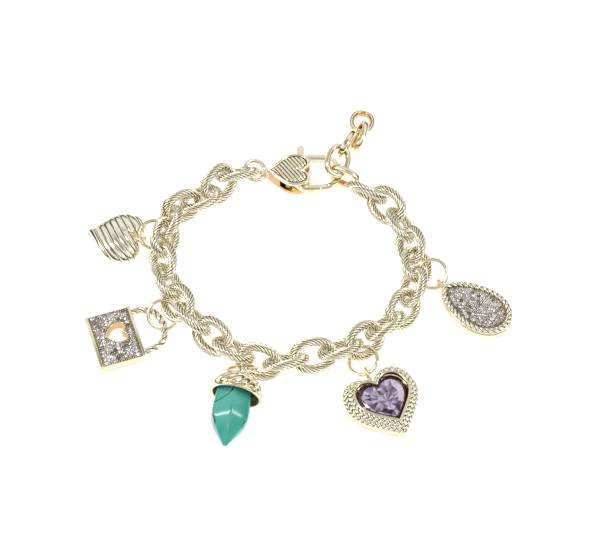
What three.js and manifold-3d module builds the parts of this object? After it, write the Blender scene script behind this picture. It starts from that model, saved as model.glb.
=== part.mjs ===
// Charm bracelet: a chain of rope-textured oval links closed by a heart lobster clasp with a short extender, and
// five charms on jump rings. It lies on a level surface at z = 0, with the loop open to +z for the wrist.
import * as THREE from "three";
import { mergeVertices } from "three/addons/utils/BufferGeometryUtils.js";
import Module from "manifold-3d";

const wasm = await Module();
wasm.setup();

// ---------- driving dimensions, in millimetres and degrees ----------

const GAP = 0.3; // clearance between neighbouring pieces

// Main chain, from the tail of the clasp round to the extender. The links lean to one side and the other by turns,
// each on a long side, and those that hold a ring or lie slack are turned a little out of the row.
const ROPE_LINK = { length: 12.2, width: 9.5, wire: 2.4, squareness: 2.2 };
const CHAIN = [
  { link: 1, x: -16.9, y: 30.4, z: 3.8, heading: 199, climb: 7, lean: 42 },
  { link: 2, x: -21.6, y: 26.6, z: 4.2, heading: 234, climb: -17, lean: -48 },
  { link: 3, x: -26.3, y: 22.2, z: 3.8, heading: 212, climb: 1, lean: 20 },
  { link: 4, x: -31.1, y: 18.6, z: 4.8, heading: 211, climb: 7, lean: -66 },
  { link: 5, x: -34.6, y: 13.9, z: 4.3, heading: 261, climb: 6, lean: 41 },
  { link: 6, x: -35.1, y: 8.5, z: 4.6, heading: 256, climb: -1, lean: -52 },
  { link: 7, x: -35.4, y: 1.6, z: 3.8, heading: 281, climb: 0, lean: 45 },
  { link: 8, x: -33.7, y: -4.9, z: 3.8, heading: 291, climb: 0, lean: -46 },
  { link: 9, x: -31.2, y: -11.4, z: 4.2, heading: 299, climb: 9, lean: 30 },
  { link: 10, x: -26.9, y: -16.7, z: 4.7, heading: 313, climb: -6, lean: -51 },
  { link: 11, x: -22.0, y: -21.7, z: 4.2, heading: 319, climb: 2, lean: 44 },
  { link: 12, x: -16.5, y: -26.1, z: 4.7, heading: 324, climb: 3, lean: -41 },
  { link: 13, x: -10.3, y: -29.0, z: 3.9, heading: 345, climb: -7, lean: 41 },
  { link: 14, x: -3.5, y: -29.0, z: 4.1, heading: 18, climb: -5, lean: -44 },
  { link: 15, x: 3.3, y: -27.2, z: 3.9, heading: 11, climb: -2, lean: 45 },
  { link: 16, x: 10.1, y: -25.5, z: 4.4, heading: 16, climb: 6, lean: -39 },
  { link: 17, x: 16.1, y: -22.7, z: 3.8, heading: 40, climb: -5, lean: 44 },
  { link: 18, x: 21.4, y: -18.2, z: 3.8, heading: 40, climb: 3, lean: -44 },
  { link: 19, x: 26.1, y: -13.2, z: 3.8, heading: 57, climb: 0, lean: 44 },
  { link: 20, x: 28.8, y: -6.9, z: 4.8, heading: 77, climb: 6, lean: -47 },
  { link: 21, x: 30.0, y: -0.2, z: 4.5, heading: 86, climb: -7, lean: 31 },
  { link: 22, x: 28.7, y: 6.6, z: 4.1, heading: 104, climb: -4, lean: -47 },
  { link: 23, x: 26.6, y: 13.3, z: 3.7, heading: 111, climb: -1, lean: 46 },
  { link: 24, x: 22.8, y: 19.3, z: 4.4, heading: 132, climb: 1, lean: -40 },
  { link: 25, x: 17.7, y: 23.1, z: 4.9, heading: 155, climb: 7, lean: 66 },
];

// Jump rings: one for each charm. Turn and tip aim the ring's axis, from +x round to +y and then up.
const JUMP_RING = { outer: 8.4, wire: 0.9 };
const JUMP_RINGS = [
  { name: "striped_heart_ring", x: -38.2, y: 11.0, z: 2.7, turn: -70, tip: 58 },
  { name: "padlock_ring", x: -34.8, y: -14.2, z: 2.5, turn: -76, tip: 57 },
  { name: "acorn_ring", x: -14.5, y: -31.1, z: 3.8, turn: 97, tip: 43 },
  { name: "purple_heart_ring", x: 15.8, y: -27.6, z: 2.1, turn: -155, tip: 66 },
  { name: "teardrop_ring", x: 34.1, y: -1.9, z: 3.2, turn: -105, tip: 61 },
];

// Plain ring between the chain and the clasp, and the five plain oval links of the extender.
const CLASP_RING = { outer: 6.8, wire: 1.1, x: -12.1, y: 32.1, z: 3.1, turn: -49, tip: 67 };
const EXTENDER_LINK = { length: 9.6, width: 6.9, wire: 1.2, band: 1.7, squareness: 2.2 };
const EXTENDER = [
  { x: 11.8, y: 29.7, z: 3.4, heading: -27, climb: 1, lean: -92 },
  { x: 10.1, y: 33.0, z: 6.1, heading: 75, climb: 15, lean: 27 },
  { x: 12.7, y: 38.7, z: 6.6, heading: 66, climb: -14, lean: 105 },
  { x: 16.2, y: 43.5, z: 3.4, heading: 71, climb: 12, lean: -64 },
  { x: 17.0, y: 49.4, z: 2.4, heading: 83, climb: -13, lean: 4 },
];

// Heart lobster clasp. Its x axis runs from the tail lug to the end of the hook.
const CLASP = { x: -3.2, y: 31.6, turn: 0 };
const CLASP_HEART = { length: 11.5, width: 10.6, shift: 0.2 };
const CLASP_LAYERS = { back: 1.3, slotTop: 3.5, top: 4.4, relief: 0.3 };
const CLASP_HOOK = { side: 5.1, straightEnd: 8.8, tipStart: 8.6, barWidth: 1.6, barHeight: 1.6, rootX: 3.8, rootY: 2.0 };
const CLASP_SLOT = { left: -2.2, rootRight: 3.5, rootBottom: 2.2 };
const CLASP_LUG = { outer: 3.2, wire: 0.8, x: -6.3 };
const LEVER = { pivotX: 0.4, pivotY: -0.6, reach: 9.2, thumbX: 3.3, thumbY: 8.4, thick: 1.6 };
const RIVET = { radius: 0.8 };

// Charms lie on their backs; `heading` is the way that their top, with its bail, points.
const BAIL = { outer: 3.5, wire: 0.85, stem: 1.1 };
const BAILS = {
  stripedHeart: { x: -41.6, y: 9.5, z: 2.4, turn: 111, tip: 24 },
  acorn: { x: -14.0, y: -33.6, z: 6.5, turn: 3, tip: 1 },
  purpleHeart: { x: 16.6, y: -31.2, z: 1.8, turn: 12, tip: 6 },
  teardrop: { x: 36.4, y: -4.5, z: 2.1, turn: -134, tip: -5 },
};
const STRIPED_HEART = { x: -48.6, y: 11.3, heading: -9, length: 14.9, width: 15.3, thick: 4.8, relief: 0.4 };
const STRIPED_RIBS = { count: 9, pitch: 1.55, width: 1.05, slant: 34 };
const PADLOCK = { x: -46.5, y: -20.8, heading: 18.7, width: 15.5, height: 11.8, thick: 3.0 };
const PADLOCK_SHACKLE = { halfWidth: 6.2, reach: 6.9, wire: 1.8, centreZ: 2.0 };
const PADLOCK_KEYHOLE = { length: 5.4, width: 5.8, across: -1.1, up: 0.4 };
const PADLOCK_RAIL = { width: 0.8, height: 0.4 };
const ACORN = { x: -15.7, y: -40.8, z: 6.6, heading: 77, droop: 7 };
const ACORN_CAP = { radius: 6.7, height: 5.7, flutes: 14, fluteDepth: 0.45, twist: 40, lip: 1.0, seat: 5.8 };
const ACORN_STONE = { radius: 5.25, neck: 4.8, body: 8.2, point: 6.0, turn: 5, across: -0.6 };
const PURPLE_HEART = { x: 21.2, y: -40.6, heading: 118, length: 18.6, width: 18.6, side: 2.4, top: 5.2 };
const HEART_STONE = { length: 12.7, width: 12.9, notch: 0.37, depth: 2.2, table: 0.62 };
const TEARDROP = { x: 44.8, y: -11.4, heading: 143, length: 20.0, width: 13.2, side: 2.0, top: 3.4, rope: 1.9 };

// ---------- materials ----------

const material = (color, roughness, metalness, extra = {}) =>
  new THREE.MeshStandardMaterial({ color, roughness, metalness, ...extra });
const GOLD = material(0xe9dcae, 0.18, 1);
const TURQUOISE = material(0x43b09e, 0.12, 0);
const AMETHYST = material(0x8a6f9c, 0.05, 0, { transparent: true, opacity: 0.85 });

// ---------- tools ----------

const UP = new THREE.Vector3(0, 0, 1);
const TURN = 2 * Math.PI;
const radians = THREE.MathUtils.degToRad;

// A closed mesh as a manifold-3d solid.
function solid(geometry) {
  const bare = geometry.clone();
  for (const name of Object.keys(bare.attributes)) if (name !== "position") bare.deleteAttribute(name);
  const merged = mergeVertices(bare, 1e-4);
  return new wasm.Manifold(
    new wasm.Mesh({
      numProp: 3,
      vertProperties: merged.attributes.position.array,
      triVerts: new Uint32Array(merged.index.array),
    }),
  );
}

// A manifold-3d solid as a mesh.
function meshOf(manifold) {
  const { vertProperties, triVerts, numProp } = manifold.simplify(0.05).getMesh();
  if (numProp !== 3) throw new Error("a solid carries more than its places");
  return new THREE.BufferGeometry()
    .setAttribute("position", new THREE.BufferAttribute(new Float32Array(vertProperties), 3))
    .setIndex(new THREE.BufferAttribute(new Uint32Array(triVerts), 1));
}

// The largest of the bodies that a cut leaves.
const main = (manifold) => manifold.decompose().sort((a, b) => b.volume() - a.volume())[0];

const join = (...geometries) => geometries.map(solid).reduce((a, b) => a.add(b));

// Closed oval in its own xy plane: a superellipse, a little squarer than an ellipse.
class OvalCurve extends THREE.Curve {
  constructor(halfLength, halfWidth, squareness = 2) {
    super();
    Object.assign(this, { halfLength, halfWidth, power: 2 / squareness });
  }
  getPoint(t, target = new THREE.Vector3()) {
    const bulge = (v) => Math.sign(v) * Math.abs(v) ** this.power;
    const angle = TURN * t;
    return target.set(this.halfLength * bulge(Math.cos(angle)), this.halfWidth * bulge(Math.sin(angle)), 0);
  }
}

function ovalLink({ length, width, wire, squareness }, steps, sides) {
  const curve = new OvalCurve((length - wire) / 2, (width - wire) / 2, squareness);
  return new THREE.TubeGeometry(curve, steps, wire / 2, sides, true);
}

const wireRing = ({ outer, wire }, steps, sides) =>
  new THREE.TorusGeometry((outer - wire) / 2, wire / 2, sides, steps);

// Frame whose x axis points along `forward` and whose xy plane is rolled about it by `lean` degrees.
function frameAlong(origin, forward, lean) {
  const x = forward.clone().normalize();
  const left = new THREE.Vector3().crossVectors(UP, x).normalize();
  const lift = new THREE.Vector3().crossVectors(x, left);
  const roll = radians(lean);
  const y = left.multiplyScalar(Math.cos(roll)).addScaledVector(lift, Math.sin(roll));
  const z = new THREE.Vector3().crossVectors(x, y);
  return new THREE.Matrix4().makeBasis(x, y, z).setPosition(origin);
}

// Unit vector `turn` degrees round from +x and `tip` degrees up.
const aim = (turn, tip) =>
  new THREE.Vector3(
    Math.cos(radians(tip)) * Math.cos(radians(turn)),
    Math.cos(radians(tip)) * Math.sin(radians(turn)),
    Math.sin(radians(tip)),
  );

// Frame of a charm that lies on its back with its top, +y, pointing along `heading`.
const charmFrame = ({ x, y, z = 0, heading }) =>
  new THREE.Matrix4().makeRotationZ(radians(heading - 90)).setPosition(x, y, z);

// Closed body through levels of equal point count, each an outline with its height; both ends close on a point.
function stackedBody(levels) {
  const count = levels[0].outline.length;
  const first = levels[0];
  const last = levels[levels.length - 1];
  const places = [];
  const faces = [];
  for (const { outline, z } of levels) for (const p of outline) places.push(p.x, p.y, z);
  const bottom = places.length / 3;
  places.push(0, 0, first.z, 0, 0, last.z);
  const top = (levels.length - 1) * count;
  for (let i = 0; i < count; i++) {
    const next = (i + 1) % count;
    faces.push(bottom, next, i);
    faces.push(bottom + 1, top + i, top + next);
    for (let level = 0; level < levels.length - 1; level++) {
      const a = level * count + i;
      const b = level * count + next;
      faces.push(a, b, b + count);
      faces.push(a, b + count, a + count);
    }
  }
  return new THREE.BufferGeometry()
    .setAttribute("position", new THREE.Float32BufferAttribute(places, 3))
    .setIndex(faces);
}

// Half a heart runs from the notch over a lobe to the tip at -y; the other half mirrors it.
function heartOutline(length, width, count, notch = 0.3) {
  const x = (share) => share * width;
  const y = (share) => share * length;
  const path = new THREE.Path().moveTo(0, y(notch));
  path.bezierCurveTo(x(-0.09), y(0.55), x(-0.5), y(0.61), x(-0.5), y(0.13));
  path.bezierCurveTo(x(-0.5), y(-0.1), x(-0.2), y(-0.31), 0, y(-0.5));
  path.bezierCurveTo(x(0.2), y(-0.31), x(0.5), y(-0.1), x(0.5), y(0.13));
  path.bezierCurveTo(x(0.5), y(0.61), x(0.09), y(0.55), 0, y(notch));
  return path.getSpacedPoints(count).slice(0, count);
}

// A drop with its narrow end at +y.
function dropOutline(length, width, count) {
  return Array.from({ length: count }, (_, i) => {
    const angle = (TURN * i) / count + TURN / 4;
    const along = Math.sin(angle);
    const taper = 1 - 0.22 * along;
    return new THREE.Vector2((width / 2.02) * Math.cos(angle) * taper, (length / 2) * along);
  });
}

const scaled = (outline, share) => outline.map((p) => p.clone().multiplyScalar(share));

// The outline drawn in towards its centre by a fixed depth.
const inset = (outline, depth) => outline.map((p) => p.clone().setLength(Math.max(p.length() - depth, 0.05)));

const between = (outer, inner, share) => outer.map((p, i) => p.clone().lerp(inner[i], share));

// Straight parallel bars, to be trimmed to a form whose surface they ridge.
function bars({ count, pitch, width, slant }, length, height) {
  const made = [];
  for (let i = 0; i < count; i++) {
    const bar = new THREE.BoxGeometry(length, width, height);
    bar.translate(0, (i - (count - 1) / 2) * pitch, height / 2);
    made.push(bar.rotateZ(radians(slant)));
  }
  return join(...made);
}

// A charm's loop, placed in the bracelet's frame and given in the charm's own; its stem runs to `root`.
function bail(ring, charmPlace, root) {
  const home = charmPlace.clone().invert();
  const loop = solid(wireRing(BAIL, 14, 6).applyMatrix4(home.clone().multiply(ringFrame(ring))));
  const centre = new THREE.Vector3(ring.x, ring.y, ring.z).applyMatrix4(home);
  const inward = root.clone().sub(centre);
  const length = inward.length() - BAIL.outer / 2 + BAIL.wire;
  const middle = centre.clone().addScaledVector(inward.normalize(), BAIL.outer / 2 - BAIL.wire + length / 2);
  const stem = new THREE.CylinderGeometry(BAIL.stem / 2, BAIL.stem / 2, length, 8);
  stem.applyQuaternion(new THREE.Quaternion().setFromUnitVectors(new THREE.Vector3(0, 1, 0), inward));
  return loop.add(solid(stem.translate(middle.x, middle.y, middle.z)));
}

// ---------- pieces ----------

const bracelet = new THREE.Group();

function addPiece(name, geometry, finish, place = new THREE.Matrix4()) {
  const mesh = new THREE.Mesh(geometry, finish);
  mesh.name = name;
  mesh.applyMatrix4(place);
  bracelet.add(mesh);
}

function addRopeChain() {
  for (const { link, x, y, z, heading, climb, lean } of CHAIN) {
    const name = "link_" + String(link).padStart(2, "0");
    const place = frameAlong(new THREE.Vector3(x, y, z), aim(heading, climb), lean);
    addPiece(name, ovalLink(ROPE_LINK, 14, 6), GOLD, place);
  }
}

// Frame of a ring whose axis is aimed by `turn` and `tip`.
function ringFrame({ x, y, z, turn, tip }) {
  const turned = new THREE.Quaternion().setFromUnitVectors(UP, aim(turn, tip));
  return new THREE.Matrix4().makeRotationFromQuaternion(turned).setPosition(x, y, z);
}

function addJumpRings() {
  for (const ring of JUMP_RINGS) addPiece(ring.name, wireRing(JUMP_RING, 12, 6), GOLD, ringFrame(ring));
}

function addExtender() {
  EXTENDER.forEach(({ x, y, z, heading, climb, lean }, i) => {
    const place = frameAlong(new THREE.Vector3(x, y, z), aim(heading, climb), lean);
    const link = ovalLink(EXTENDER_LINK, 14, 6).scale(1, 1, EXTENDER_LINK.band / EXTENDER_LINK.wire);
    addPiece("extender_link_" + (i + 1), link, GOLD, place);
  });
}

// Flat bar swept along a level path; the bar's corners are cut to eight sides.
function bar(path, width, height, steps) {
  const section = new THREE.Shape();
  const [w, h, cut] = [height / 2, width / 2, 0.3];
  section.moveTo(w, h - cut);
  section.lineTo(w - cut, h).lineTo(cut - w, h).lineTo(-w, h - cut);
  section.lineTo(-w, cut - h).lineTo(cut - w, -h).lineTo(w - cut, -h).lineTo(w, cut - h);
  section.closePath();
  return new THREE.ExtrudeGeometry(section, { steps, extrudePath: path });
}

// Upright round bar on the lever's pivot axis, for the rivet and for cuts round it.
function pivotCylinder(radius, bottom, top, sides) {
  const body = new THREE.CylinderGeometry(radius, radius, top - bottom, sides).rotateX(Math.PI / 2);
  return body.translate(LEVER.pivotX, LEVER.pivotY, (top + bottom) / 2);
}

function addClasp() {
  const place = new THREE.Matrix4().makeRotationZ(radians(CLASP.turn)).setPosition(CLASP.x, CLASP.y, 0);
  const { back, slotTop, top, relief } = CLASP_LAYERS;
  const { side, straightEnd, tipStart, barWidth, barHeight, rootX, rootY } = CLASP_HOOK;
  const slotMiddle = (back + slotTop) / 2;

  // The heart lies with its tip towards the tail, -x.
  const heart = heartOutline(CLASP_HEART.length, CLASP_HEART.width, 28).map(
    (p) => new THREE.Vector2(p.y + CLASP_HEART.shift, -p.x),
  );
  const block = solid(
    stackedBody([
      { outline: scaled(heart, 0.95), z: 0 },
      { outline: heart, z: 0.3 },
      { outline: heart, z: top - 0.3 },
      { outline: inset(heart, 0.3), z: top },
    ]),
  );
  const field = solid(
    stackedBody([
      { outline: inset(heart, 0.9), z: top - 0.5 },
      { outline: inset(heart, 0.9), z: top + relief },
    ]),
  );
  const ribs = bars({ count: 11, pitch: 1.0, width: 0.6, slant: -54 }, 16, top + relief).intersect(field);

  // Slot for the lever, open along the lower right edge and at the thumb's side.
  const slotBox = (left, right, low, high) =>
    new THREE.BoxGeometry(right - left, high - low, slotTop - back).translate(
      (left + right) / 2,
      (low + high) / 2,
      slotMiddle,
    );
  const slot = join(
    slotBox(CLASP_SLOT.left, 7, -7, CLASP_SLOT.rootBottom),
    slotBox(CLASP_SLOT.left, CLASP_SLOT.rootRight, 0, 7),
  );

  const arm = new THREE.CurvePath();
  const level = (x, y) => new THREE.Vector3(x, y, slotMiddle);
  const root = [level(rootX, rootY), level(rootX + 0.4, side - 1.2), level(rootX + 1.6, side)];
  arm.add(new THREE.CatmullRomCurve3([...root, level(straightEnd, side)]));
  const bends = 4;
  const onBend = (step) => {
    const angle = Math.PI / 2 - (Math.PI * step) / bends;
    return level(straightEnd + side * Math.cos(angle), side * Math.sin(angle));
  };
  arm.add(new THREE.CatmullRomCurve3(Array.from({ length: bends + 1 }, (_, i) => onBend(i))));
  arm.add(new THREE.LineCurve3(level(straightEnd, -side), level(tipStart - 1, -side)));
  const reachCut = solid(pivotCylinder(LEVER.reach + GAP, 0, top, 36));
  const belowRoot = solid(new THREE.BoxGeometry(30, 10, 10).translate(5, -7.5, slotMiddle));
  const hook = solid(bar(arm, barWidth, barHeight, 24)).subtract(reachCut.intersect(belowRoot));

  const lug = wireRing(CLASP_LUG, 12, 6).rotateX(Math.PI / 2);
  lug.translate(CLASP_LUG.x, 0, 2.2);
  const rivetHole = solid(pivotCylinder(RIVET.radius + GAP / 2, -1, slotTop, 12));
  const body = block.subtract(slot).add(ribs).add(hook).add(solid(lug)).subtract(rivetHole);
  addPiece("clasp_body", meshOf(body), GOLD, place);

  // Lever: a gate that closes the hook, and a thumb tab on the far side of the pivot.
  const { pivotX, pivotY, reach, thumbX, thumbY, thick } = LEVER;
  const hub = solid(pivotCylinder(1.9, slotMiddle - thick / 2, slotMiddle + thick / 2, 16));
  const flat = (x, y) => new THREE.Vector3(x, y, slotMiddle);
  const gatePath = new THREE.CatmullRomCurve3([
    flat(pivotX, pivotY - 0.2),
    flat(pivotX + 2.0, pivotY - 3.0),
    flat(pivotX + 4.4, -side - 0.1),
    flat(pivotX + reach, -side),
  ]);
  const thumbPath = new THREE.LineCurve3(flat(pivotX, pivotY), flat(thumbX, thumbY));
  const gate = solid(bar(gatePath, barWidth, thick, 12)).intersect(solid(pivotCylinder(reach, 0, top, 36)));
  const thumb = solid(bar(thumbPath, 1.9, thick, 1));
  const pinHole = solid(pivotCylinder(RIVET.radius + GAP / 2, 0, top, 12));
  const lever = hub.add(gate).add(thumb).subtract(pinHole);
  addPiece("clasp_lever", meshOf(lever), GOLD, place);

  const rivet = pivotCylinder(RIVET.radius, 0, slotTop - GAP, 12);
  addPiece("clasp_rivet", rivet, GOLD, place);
}

function addClaspRing() {
  addPiece("clasp_ring", wireRing(CLASP_RING, 14, 6), GOLD, ringFrame(CLASP_RING));
}

function addStripedHeart() {
  const { length, width, thick, relief } = STRIPED_HEART;
  const outline = heartOutline(length - 2 * relief, width - 2 * relief, 16);
  const dome = (grow) =>
    stackedBody([
      { outline: inset(outline, 0.5 - grow), z: 0 },
      { outline: inset(outline, -grow), z: thick * 0.42 },
      { outline: inset(outline, 0.7 - grow), z: thick * 0.66 + grow / 2 },
      { outline: scaled(outline, 0.62), z: thick * 0.86 + grow },
      { outline: scaled(outline, 0.3), z: thick + grow - relief },
    ]);
  const ribs = bars(STRIPED_RIBS, 2 * length, 2 * thick).intersect(solid(dome(relief)));
  const place = charmFrame(STRIPED_HEART);
  const loop = bail(BAILS.stripedHeart, place, new THREE.Vector3(0, length * 0.25, 2));
  addPiece("striped_heart", meshOf(main(solid(dome(0)).add(ribs).add(loop))), GOLD, place);
}

function addPadlock() {
  const { width, height, thick } = PADLOCK;
  const { halfWidth, reach, wire, centreZ } = PADLOCK_SHACKLE;
  const box = (w, h, d, x, y, z) => new THREE.BoxGeometry(w, h, d).translate(x, y, z);
  const plate = box(width, height, thick - PADLOCK_RAIL.height, 0, 0, (thick - PADLOCK_RAIL.height) / 2);
  const railPlace = (height - PADLOCK_RAIL.width) / 2;
  const rails = [-railPlace, railPlace].map((y) => box(width, PADLOCK_RAIL.width, thick, 0, y, thick / 2));
  const keyOutline = heartOutline(PADLOCK_KEYHOLE.length, PADLOCK_KEYHOLE.width, 20);
  const keyhole = stackedBody([
    { outline: keyOutline, z: -1 },
    { outline: keyOutline, z: thick + 1 },
  ]).translate(PADLOCK_KEYHOLE.across, PADLOCK_KEYHOLE.up, 0);
  const foot = height / 2 - 0.5;
  const bow = new THREE.CatmullRomCurve3(
    [
      [-halfWidth, foot],
      [-halfWidth, foot + reach * 0.35],
      [-halfWidth * 0.72, foot + reach * 0.85],
      [0, foot + reach + 0.3],
      [halfWidth * 0.72, foot + reach * 0.85],
      [halfWidth, foot + reach * 0.35],
      [halfWidth, foot],
    ].map(([x, y]) => new THREE.Vector3(x, y, centreZ)),
  );
  const section = new THREE.Shape().absarc(0, 0, wire / 2, 0, TURN);
  const shackle = new THREE.ExtrudeGeometry(section, { steps: 16, curveSegments: 6, extrudePath: bow });
  const body = join(plate, ...rails, shackle).subtract(solid(keyhole));
  addPiece("padlock", meshOf(body), GOLD, charmFrame(PADLOCK));
}

// The acorn lies on its side: its axis, local +z, runs from the stone's point up to the bail.
// The stone sits a little askew in the cap, turned and shifted sideways.
function acornFrame(turn = 0, across = 0) {
  const { x, y, z, heading, droop } = ACORN;
  const turned = new THREE.Quaternion().setFromUnitVectors(UP, aim(heading + turn, droop));
  return new THREE.Matrix4().makeRotationFromQuaternion(turned).setPosition(x + across, y, z);
}

function addAcorn() {
  const { radius, height, flutes, fluteDepth, twist, lip, seat } = ACORN_CAP;
  const count = 2 * flutes;
  const circle = (r) =>
    Array.from({ length: count }, (_, i) => {
      const angle = (TURN * i) / count;
      return new THREE.Vector2(r * Math.cos(angle), r * Math.sin(angle));
    });
  // Every second point of a fluted level stands proud, and the flutes turn as they climb.
  const fluted = (r, share) =>
    circle(1).map((p, i) =>
      p.multiplyScalar(r - (i % 2 ? fluteDepth : 0)).rotateAround(new THREE.Vector2(), radians(twist * share)),
    );
  const domed = (share) => fluted(radius * Math.sqrt(1 - (share * 0.93) ** 2), share);
  const cap = stackedBody([
    { outline: circle(seat), z: 1.9 },
    { outline: circle(seat), z: 0 },
    { outline: circle(radius - 0.3), z: -0.2 },
    { outline: circle(radius), z: lip / 2 },
    { outline: circle(radius - 0.3), z: lip },
    ...[0, 0.3, 0.55, 0.78, 1].map((share) => ({ outline: domed(share), z: lip + share * (height - lip) })),
  ]);
  const loop = bail(BAILS.acorn, acornFrame(), new THREE.Vector3(0, 0, height - 0.4));
  addPiece("acorn_cap", meshOf(solid(cap).add(loop)), GOLD, acornFrame());

  const { radius: girth, neck, body, point } = ACORN_STONE;
  const sides = 6;
  const hexagon = (r) =>
    Array.from({ length: sides }, (_, i) => {
      const angle = (TURN * (i + 0.5)) / sides;
      return new THREE.Vector2(r * Math.cos(angle), r * Math.sin(angle));
    });
  const stone = stackedBody([
    { outline: hexagon(0.5), z: -body - point + 1.4 - GAP },
    { outline: hexagon(girth), z: -body + 1.4 - GAP },
    { outline: hexagon(girth), z: -body * 0.7 + 1.4 - GAP },
    { outline: hexagon(neck), z: 1.4 - GAP },
  ]);
  addPiece("acorn_stone", stone, TURQUOISE, acornFrame(ACORN_STONE.turn, ACORN_STONE.across));
}

function addPurpleHeart() {
  const { length, width, side, top } = PURPLE_HEART;
  const points = 24;
  const outer = heartOutline(length, width, points);
  const around = (room) =>
    heartOutline(HEART_STONE.length + room, HEART_STONE.width + room, points, HEART_STONE.notch);
  const bezel = around(1.4);
  const seat = around(2 * GAP);
  const rows = 3; // raised rows of braid between the side wall and the bezel
  const levels = [
    { outline: scaled(outer, 0.97), z: 0 },
    { outline: outer, z: 0.3 },
    { outline: outer, z: side },
  ];
  for (let row = 0; row < rows; row++) {
    const rise = (share) => side + (top - side) * share * 0.9;
    levels.push({ outline: between(outer, bezel, (row + 0.1) / rows), z: rise((row + 0.6) / rows) });
    levels.push({ outline: between(outer, bezel, (row + 0.75) / rows), z: rise((row + 0.9) / rows) });
  }
  levels.push({ outline: bezel, z: top });
  levels.push({ outline: seat, z: top });
  levels.push({ outline: seat, z: top - HEART_STONE.depth });
  const place = charmFrame(PURPLE_HEART);
  const loop = bail(BAILS.purpleHeart, place, new THREE.Vector3(0, length * 0.26, 1.4));
  addPiece("purple_heart_setting", meshOf(solid(stackedBody(levels)).add(loop)), GOLD, place);

  const girdle = around(0);
  const stoneBottom = top - HEART_STONE.depth + GAP;
  const stone = stackedBody([
    { outline: scaled(girdle, 0.6), z: stoneBottom },
    { outline: girdle, z: top - 0.6 },
    { outline: girdle, z: top - 0.4 },
    { outline: scaled(girdle, HEART_STONE.table), z: top + 0.4 },
  ]);
  addPiece("heart_stone", stone, AMETHYST, place);
}

function addTeardrop() {
  const { length, width, side, top, rope } = TEARDROP;
  const outer = dropOutline(length, width, 24);
  const levels = [
    { outline: inset(outer, 0.3), z: 0 },
    { outline: outer, z: 0.4 },
    { outline: outer, z: side },
    { outline: inset(outer, 0.25), z: top - 0.4 },
    { outline: inset(outer, rope / 2), z: top },
    { outline: inset(outer, rope - 0.2), z: top - 0.4 },
    { outline: inset(outer, rope), z: side + 0.7 },
    { outline: inset(outer, rope + 0.9), z: top - 0.3 },
    { outline: inset(outer, rope + 2.4), z: top },
  ];
  const place = charmFrame(TEARDROP);
  const loop = bail(BAILS.teardrop, place, new THREE.Vector3(0, length / 2 - 0.9, 1));
  addPiece("teardrop", meshOf(solid(stackedBody(levels)).add(loop)), GOLD, place);
}

addRopeChain();
addClaspRing();
addClasp();
addExtender();
addJumpRings();
addStripedHeart();
addPadlock();
addAcorn();
addPurpleHeart();
addTeardrop();

// The frame's origin is on the ground, at the middle of the bracelet's box.
const box = new THREE.Box3().setFromObject(bracelet, true);
bracelet.position.set(-(box.min.x + box.max.x) / 2, -(box.min.y + box.max.y) / 2, -box.min.z);

export default bracelet;
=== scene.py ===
"""Charm bracelet: the looks of a rope-link chain, a heart lobster clasp and five charms, over the CAD part.

Lengths are in metres; sizes written with MM are in millimetres.
"""

import math
from functools import partial
import bmesh
import bpy
import numpy as np
from mathutils import Matrix, Vector


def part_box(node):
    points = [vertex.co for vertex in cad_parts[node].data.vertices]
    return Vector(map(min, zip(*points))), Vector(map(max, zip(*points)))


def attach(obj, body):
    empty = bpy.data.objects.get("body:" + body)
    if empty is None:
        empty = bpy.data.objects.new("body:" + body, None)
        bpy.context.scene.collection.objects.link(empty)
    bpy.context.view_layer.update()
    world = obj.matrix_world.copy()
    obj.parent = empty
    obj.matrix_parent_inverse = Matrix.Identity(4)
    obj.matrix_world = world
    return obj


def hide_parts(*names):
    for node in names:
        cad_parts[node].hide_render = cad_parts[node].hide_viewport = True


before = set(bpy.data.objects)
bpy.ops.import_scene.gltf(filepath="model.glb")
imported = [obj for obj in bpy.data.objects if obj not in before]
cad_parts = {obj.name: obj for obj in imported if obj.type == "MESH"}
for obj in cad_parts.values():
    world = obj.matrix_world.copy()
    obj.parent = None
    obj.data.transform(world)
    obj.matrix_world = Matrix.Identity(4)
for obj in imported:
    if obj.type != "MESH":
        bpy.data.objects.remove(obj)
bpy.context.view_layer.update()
MM = 0.001

# ---------- sizes, in millimetres and degrees ----------

ROPE_LINK = {"length": 12.2, "width": 9.5, "wire": 2.4, "squareness": 2.2}
EXTENDER_LINK = {"length": 9.6, "width": 6.9, "wire": 1.2, "squareness": 2.2}
EXTENDER_BAND = {"thick": 1.35, "across": 1.7, "corner": 0.58}  # the extender is bent from flat stock
JUMP_RING = {"length": 8.4, "width": 8.4, "wire": 0.9}
CLASP_RING = {"length": 6.8, "width": 6.8, "wire": 1.1}
CHARM_RINGS = ["striped_heart_ring", "padlock_ring", "acorn_ring", "purple_heart_ring", "teardrop_ring"]

RIVET = Vector((-2.8, 31.0))  # place of the clasp's rivet, which the other places are counted from
CLASP = {"x": -3.2, "y": 31.6, "heading": 90, "length": 11.5, "width": 10.6, "shift": 0.2}
CLASP_LAYERS = {"back": 1.3, "slot_top": 3.5, "top": 4.4, "relief": 0.35}
CLASP_RIDGES = {"pitch": 0.92, "slant": -54}
CLASP_HOOK = {"side": 5.1, "straight_end": 8.8, "bar": 1.7, "root_x": 3.8, "root_y": 2.0}
LEVER = {"pivot_x": 0.4, "pivot_y": -0.6, "reach": 9.2, "thumb_x": 3.3, "thumb_y": 8.15, "thick": 1.6,
         "hub": 1.9, "tab_width": 1.9, "tab_height": 1.5, "knob": 0.95}
CLASP_LUG = {"outer": 3.2, "wire": 0.8, "x": -6.3, "z": 2.2}

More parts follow.
